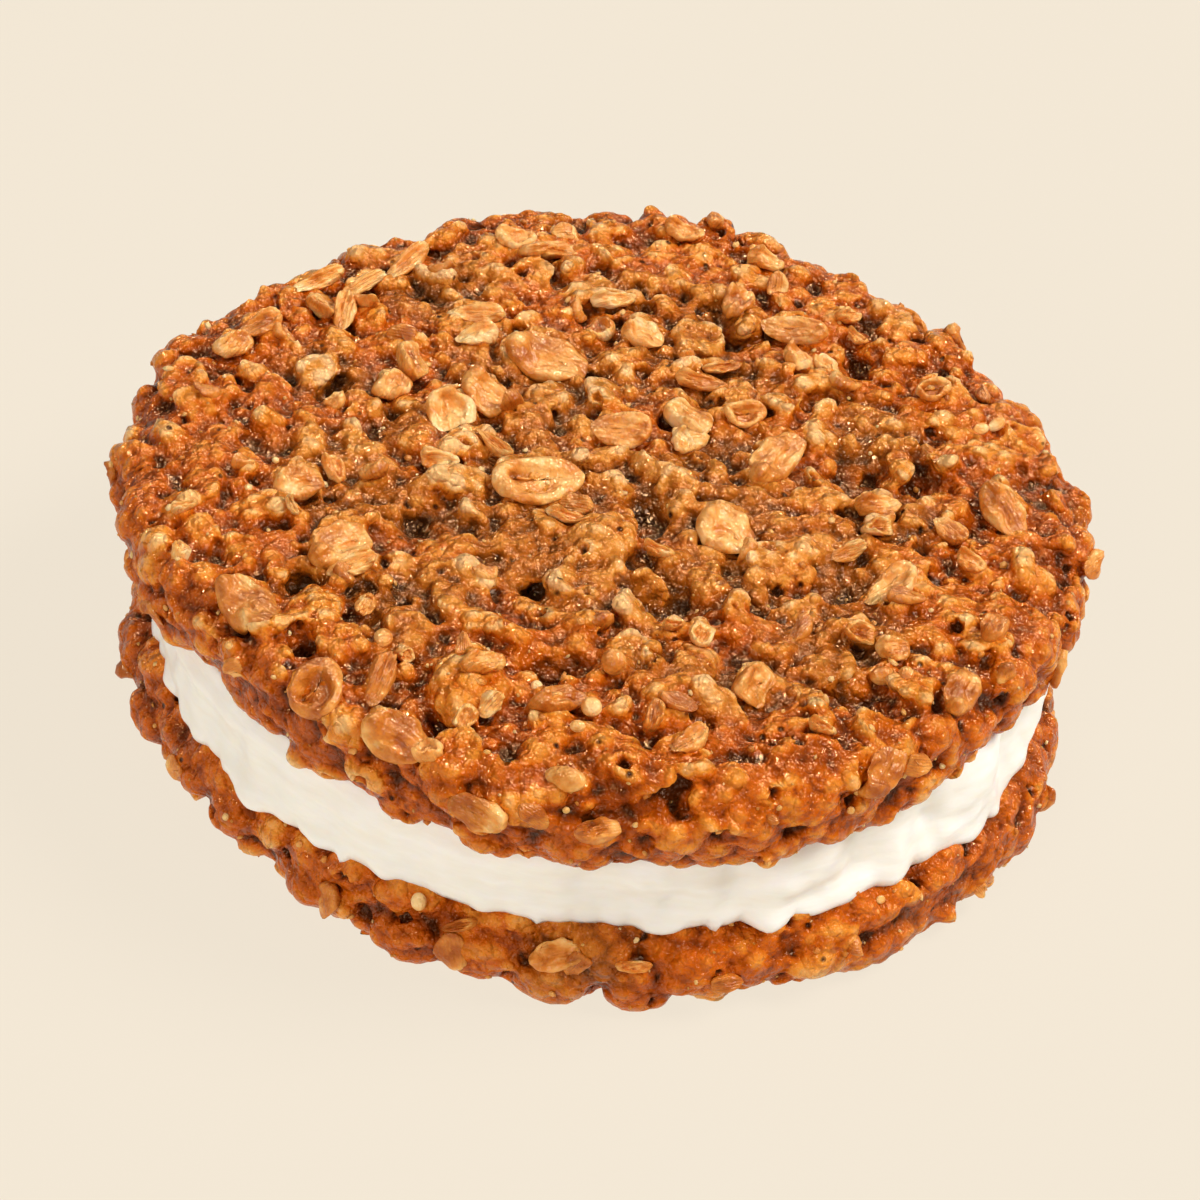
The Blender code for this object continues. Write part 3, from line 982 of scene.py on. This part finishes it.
def baked_oat_dough():
    """Brown sugar and butter dough, baked: a caramel skin, see-through at thin edges, wet where it pooled."""
    finish = {
        "Subsurface Weight": 0.15,
        "Subsurface Radius": (1.0, 0.42, 0.16),
        "Subsurface Scale": 1.2 * MM,
        "Specular IOR Level": 0.25,
        "Specular Tint": linear("#FFC48A"),
        "Coat Weight": 0.16,
        "Coat Roughness": 0.12,
    }
    material, tree, shader = new_material("Baked oat dough", finish)
    place = add(tree, "ShaderNodeTexCoord").outputs["Object"]
    relief, fine, tint = (
        add(tree, "ShaderNodeAttribute", {"attribute_name": name}).outputs["Fac"]
        for name in ("relief", "fine_relief", "tint")
    )
    # Patches 14 mm apart, specks 1.1 mm apart, wrinkles 0.9 mm apart, and sugar and bran grit of 0.4 mm
    noises = []
    for apart, detail in ((14, 2.0), (1.1, 3.0), (0.9, 1.0), (0.4, 1.0)):
        links = {"Vector": place, "Scale": 1 / (apart * MM), "Detail": detail}
        noises.append(add(tree, "ShaderNodeTexNoise", links=links).outputs["Fac"])
    patches, specks, wrinkles, grit = noises
    # Bubbles that burst 3.5 mm apart, and small round blisters 1.2 mm apart
    distances = []
    for apart in (3.5, 1.2):
        links = {"Vector": place, "Scale": 1 / (apart * MM)}
        distances.append(add(tree, "ShaderNodeTexVoronoi", links=links).outputs["Distance"])
    bubbles, blisters = distances

    # Browner towards the middle of a face and more orange towards the rim
    links = {"Vector": place, "Scale": (1.0, 1.0, 0.0)}
    level = add(tree, "ShaderNodeMapping", links=links).outputs["Vector"]
    out = add(tree, "ShaderNodeVectorMath", {"operation": "LENGTH"}, {0: level}).outputs["Value"]
    links = {"Value": out, "From Min": 26 * MM, "From Max": 46 * MM, "To Min": 0.10, "To Max": -0.12}
    inner = add(tree, "ShaderNodeMapRange", links=links).outputs[0]
    browner = add(tree, "ShaderNodeMath", {"operation": "ADD"}, {0: patches, 1: inner}).outputs[0]
    links = {"Value": browner, "From Min": 0.46, "From Max": 0.62, "To Min": 0.0, "To Max": 0.9}
    browning = add(tree, "ShaderNodeMapRange", links=links).outputs[0]

    # Painted shade in the valleys and painted light on the tops: the relief and the fine relief make it
    # darker where the skin lies low and paler where it stands out, and the tint and the specks add the
    # dough's own tone.
    # Orange where it baked less and brown where it baked more
    height = 0.32
    for source, share in ((relief, 0.27), (fine, 0.8), (tint, 0.24), (specks, 0.26)):
        links = {0: source, 1: share, 2: height}
        height = add(tree, "ShaderNodeMath", {"operation": "MULTIPLY_ADD"}, links).outputs[0]
    orange, brown = (
        add(tree, "ShaderNodeValToRGB", links={"Fac": height}, stops=stops).outputs["Color"]
        for stops in (
            ((0.12, "#461A02"), (1.0, "#FAC47E"), (0.32, "#943B03"), (0.56, "#CA5E08"), (0.80, "#E88F2F")),
            ((0.12, "#3E1E07"), (1.0, "#F7C488"), (0.32, "#7E400B"), (0.56, "#B66216"), (0.80, "#DE903A")),
        )
    )
    colours = {"data_type": "RGBA"}
    colour = add(tree, "ShaderNodeMix", colours, {0: browning, 6: orange, 7: brown}).outputs[2]
    links = {"Value": specks, "From Min": 0.35, "From Max": 0.7, "To Min": 0.14, "To Max": 0.38}
    wet = add(tree, "ShaderNodeMapRange", links=links).outputs[0]

    # The burst bubbles are pinholes, 0.35 to 0.8 mm wide, painted dark as the shade inside them
    links = {"Value": bubbles, "From Min": 0.05, "From Max": 0.11}
    closed = add(tree, "ShaderNodeMapRange", links=links).outputs[0]
    links = {0: closed, 6: linear("#3A1405"), 7: colour}
    colour_with_painted_pinholes = add(tree, "ShaderNodeMix", colours, links).outputs[2]
    links = {0: blisters, 1: blisters}
    creases = add(tree, "ShaderNodeMath", {"operation": "MULTIPLY"}, links).outputs[0]
    rough = 0.0
    for source, share in ((wrinkles, 1.0), (grit, 0.4), (creases, -0.9), (closed, 0.5)):
        links = {0: source, 1: share, 2: rough}
        rough = add(tree, "ShaderNodeMath", {"operation": "MULTIPLY_ADD"}, links).outputs[0]
    links = {"Height": rough, "Strength": 1.0, "Distance": 0.7 * MM}
    bump = add(tree, "ShaderNodeBump", links=links).outputs["Normal"]
    tree.links.new(colour_with_painted_pinholes, shader.inputs["Base Color"])
    tree.links.new(wet, shader.inputs["Roughness"])
    tree.links.new(bump, shader.inputs["Normal"])
    tree.links.new(bump, shader.inputs["Coat Normal"])
    return material


# A wave texture's bands lie 0.314 / scale apart, and one unit of an oat's outline is its length
BRAN_LINES = 0.314 * OAT_SIZE[0] / (0.7 * MM)


def toasted_oat():
    """Rolled oat, pressed and toasted: straw-coloured bran in a thin film of syrup, browner in places."""
    finish = {
        "Roughness": 0.45,
        "Subsurface Weight": 0.25,
        "Subsurface Radius": (1.0, 0.6, 0.3),
        "Subsurface Scale": 0.9 * MM,
        "Specular IOR Level": 0.2,
        "Coat Weight": 0.25,
        "Coat Roughness": 0.15,
    }
    material, tree, shader = new_material("Toasted rolled oat", finish)
    place = add(tree, "ShaderNodeTexCoord").outputs["Object"]
    outline = add(tree, "ShaderNodeTexCoord").outputs["UV"]
    toast, syrup = (
        add(tree, "ShaderNodeAttribute", {"attribute_name": name}).outputs["Fac"]
        for name in ("toast", "syrup")
    )
    # Stains are 2.6 mm apart, and the wrinkles of the bran 0.8 mm
    noises = []
    for apart, detail in ((2.6, 3.0), (0.8, 2.0)):
        links = {"Vector": place, "Scale": 1 / (apart * MM), "Detail": detail}
        noises.append(add(tree, "ShaderNodeTexNoise", links=links).outputs["Fac"])
    stains, bran = noises
    level = -0.92
    for source, share in ((toast, 0.4), (syrup, 0.75), (stains, 2.1)):
        links = {0: source, 1: share, 2: level}
        level = add(tree, "ShaderNodeMath", {"operation": "MULTIPLY_ADD"}, links).outputs[0]
    stops = ((0.0, "#FBD192"), (0.95, "#AE5810"), (0.28, "#F1B160"), (0.58, "#DB8630"))
    colour = add(tree, "ShaderNodeValToRGB", links={"Fac": level}, stops=stops).outputs["Color"]
    # Bran lines run along the oat
    links = {"Vector": outline, "Scale": BRAN_LINES, "Distortion": 3.0, "Detail": 3.0, "Detail Scale": 2.0}
    lines = add(tree, "ShaderNodeTexWave", {"bands_direction": "Y"}, links).outputs["Fac"]
    links = {0: lines, 1: 0.1, 2: bran}
    both = add(tree, "ShaderNodeMath", {"operation": "MULTIPLY_ADD"}, links).outputs[0]
    links = {"Height": both, "Strength": 0.9, "Distance": 0.4 * MM}
    bump = add(tree, "ShaderNodeBump", links=links).outputs["Normal"]
    tree.links.new(colour, shader.inputs["Base Color"])
    tree.links.new(bump, shader.inputs["Normal"])
    tree.links.new(bump, shader.inputs["Coat Normal"])
    return material


def white_cream():
    """Whipped white filling of fat and sugar: light goes well into it, and its skin has a soft shine."""
    finish = {
        "Roughness": 0.38,
        "Subsurface Weight": 0.5,
        "Subsurface Radius": (1.0, 0.85, 0.65),
        "Subsurface Scale": 1.5 * MM,
    }
    material, tree, shader = new_material("White cream", finish)
    place = add(tree, "ShaderNodeTexCoord").outputs["Object"]
    # Smears 5 mm long and a quarter as tall
    drag = add(tree, "ShaderNodeMapping", links={"Vector": place, "Scale": (1.0, 1.0, 4.0)}).outputs["Vector"]
    links = {"Vector": drag, "Scale": 1 / (5 * MM), "Detail": 3.0}
    smears = add(tree, "ShaderNodeTexNoise", links=links).outputs["Fac"]
    stops = ((0.3, "#F7F2E8"), (0.7, "#FDFAF4"))
    colour = add(tree, "ShaderNodeValToRGB", links={"Fac": smears}, stops=stops).outputs["Color"]
    links = {"Height": smears, "Strength": 0.5, "Distance": 0.3 * MM}
    bump = add(tree, "ShaderNodeBump", links=links).outputs["Normal"]
    tree.links.new(colour, shader.inputs["Base Color"])
    tree.links.new(bump, shader.inputs["Normal"])
    return material


# ------------------------------------------------------------------ floor and light


def lit_surface(name, base, strength):
    """A matt cream-coloured surface lit from behind, so that shadows on it stay faint."""
    finish = {
        "Base Color": linear(base),
        "Roughness": 0.95,
        "Specular IOR Level": 0.0,
        "Emission Color": linear("#F4E9D7"),
        "Emission Strength": strength,
    }
    return new_material(name, finish)[0]


def build_stage():
    # A hair below the cookie's flat lumps, so that no two faces lie in one plane
    bpy.ops.mesh.primitive_plane_add(size=6.0, location=(0, 0, -0.05 * MM))
    floor = bpy.context.object
    floor.name = "floor"
    floor.data.materials.append(lit_surface("Lit acrylic table", "#4A463F", 0.91))

    # The wall is there to be looked at, and lights nothing
    bpy.ops.mesh.primitive_cylinder_add(vertices=96, radius=2.9, depth=4.0, end_fill_type="NOTHING")
    wall = bpy.context.object
    wall.name = "backdrop"
    wall.data.materials.append(lit_surface("Lit acrylic wall", "#000000", 1.0))
    for rays in ("diffuse", "glossy", "transmission", "volume_scatter", "shadow"):
        setattr(wall, f"visible_{rays}", False)

    world = bpy.data.worlds.new("Studio")
    world.use_nodes = True
    background = world.node_tree.nodes["Background"]
    background.inputs["Color"].default_value = linear("#FFF0DC")
    background.inputs["Strength"].default_value = 0.22
    bpy.context.scene.world = world
    bpy.context.scene.view_settings.view_transform = "Standard"

    # The sparks only put glints on wet sugar: they light nothing else
    for name, place, size, power in (
        ("Softbox", Vector((1.4, 0.1, 1.7)), 1.1, 45.0),
        ("Right spark", Vector((1.0, 0.9, 1.5)), 0.25, 66.0),
        ("Back spark", Vector((-0.3, 1.4, 1.4)), 0.25, 52.0),
        ("Left spark", Vector((-1.1, 0.3, 1.6)), 0.25, 52.0),
        ("Front fill", Vector((-0.8, -1.8, 1.1)), 1.4, 24.0),
    ):
        light = bpy.data.lights.new(name, "AREA")
        light.shape = "DISK"
        light.size = size
        light.energy = power
        light.color = linear("#FFDDAE" if "spark" in name else "#FFFDFB")[:3]
        lamp = bpy.data.objects.new(name, light)
        lamp.visible_diffuse = "spark" not in name
        bpy.context.scene.collection.objects.link(lamp)
        lamp.matrix_world = Matrix.Translation(place) @ place.to_track_quat("Z", "Y").to_matrix().to_4x4()


# ------------------------------------------------------------------ putting it together

make_camera()
forms = model_forms()
top_cookie = build_top_cookie(forms)
bottom_cookie = build_bottom_cookie(forms)
cream = build_cream()
oats = lay_oats(forms, (top_cookie, bottom_cookie), random.Random(31))
crumbs = lay_seeds(forms, (top_cookie, bottom_cookie), random.Random(41))
for cookie in (top_cookie, bottom_cookie):
    drop_specks(cookie)  # last, because what lies on a skin is drawn from its points
for form in forms.values():
    bpy.data.objects.remove(form)

dough_finish = baked_oat_dough()
oat_finish = toasted_oat()
cream_finish = white_cream()
for piece, finish, slot, nodes in (
    (top_cookie, dough_finish, "baked_oat_cookie", ("top_cookie",)),
    (bottom_cookie, dough_finish, "baked_oat_cookie", ("bottom_cookie",)),
    (cream, cream_finish, "white_cream", ("cream_filling",)),
    (oats, oat_finish, "rolled_oats", ()),
    (crumbs, oat_finish, "rolled_oats", ()),
):
    piece.data.materials.clear()
    piece.data.materials.append(finish)
    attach(piece, "root")
    if nodes:
        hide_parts(*nodes)

build_stage()
